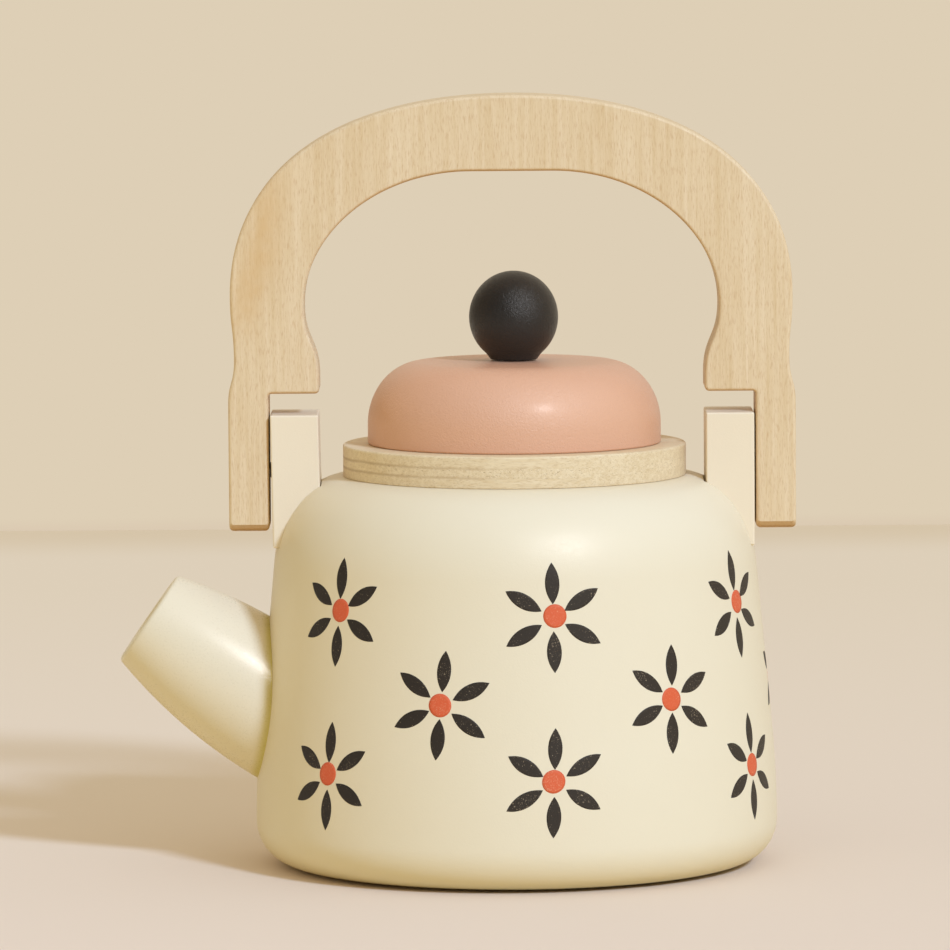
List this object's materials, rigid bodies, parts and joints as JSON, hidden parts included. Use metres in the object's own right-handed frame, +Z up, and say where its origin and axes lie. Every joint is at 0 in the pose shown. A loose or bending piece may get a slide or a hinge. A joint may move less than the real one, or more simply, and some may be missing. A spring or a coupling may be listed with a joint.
{
  "type": "wooden toy kettle",
  "caption": "Turned wooden toy kettle with a coped spout, a lift-off domed lid with a ball knob, and a flat board handle that swings on brackets let into the shoulder.",
  "frame": {"origin": "centre of the flat base, on the axis of the turned body", "axes": "+Z up along the body axis, -X towards the spout, +Y to the back; the handle swings about X"},
  "size_m": [0.1524, 0.1172, 0.173],
  "materials": {
    "cream_paint": "satin cream paint on turned wood",
    "pink_paint": "satin salmon pink paint",
    "black_paint": "semi-gloss black paint",
    "board_wood": "sanded pale board with a thin clear coat",
    "plywood": "sanded plywood with bare ply edges",
    "dowel_wood": "plain dowel rod",
    "screw_steel": "zinc plated"
  },
  "bodies": {
    "kettle": {"kettle_body": "cream_paint", "spout": "cream_paint", "spout_dowel": "dowel_wood", "left_bracket": "cream_paint", "right_bracket": "cream_paint", "left_bracket_front_dowel": "dowel_wood", "left_bracket_back_dowel": "dowel_wood", "right_bracket_front_dowel": "dowel_wood", "right_bracket_back_dowel": "dowel_wood", "left_pivot_screw": "screw_steel", "right_pivot_screw": "screw_steel", "left_pivot_washer": "screw_steel", "right_pivot_washer": "screw_steel"},
    "handle": {"handle": "board_wood"},
    "lid": {"lid_flange": "plywood", "lid_plug": "plywood", "lid_dome": "pink_paint", "lid_knob": "black_paint", "knob_screw": "screw_steel"}
  },
  "joints": [
    {"name": "handle_swing", "type": "hinge", "parent": "kettle", "child": "handle", "pos_m": [0, 0, 0.0889], "axis": [1, 0, 0], "range_deg": [-82, 82]},
    {"name": "lid_lift", "type": "slide", "parent": "kettle", "child": "lid", "axis": [0, 0, 1], "range_m": [0, 0.018]}
  ]
}
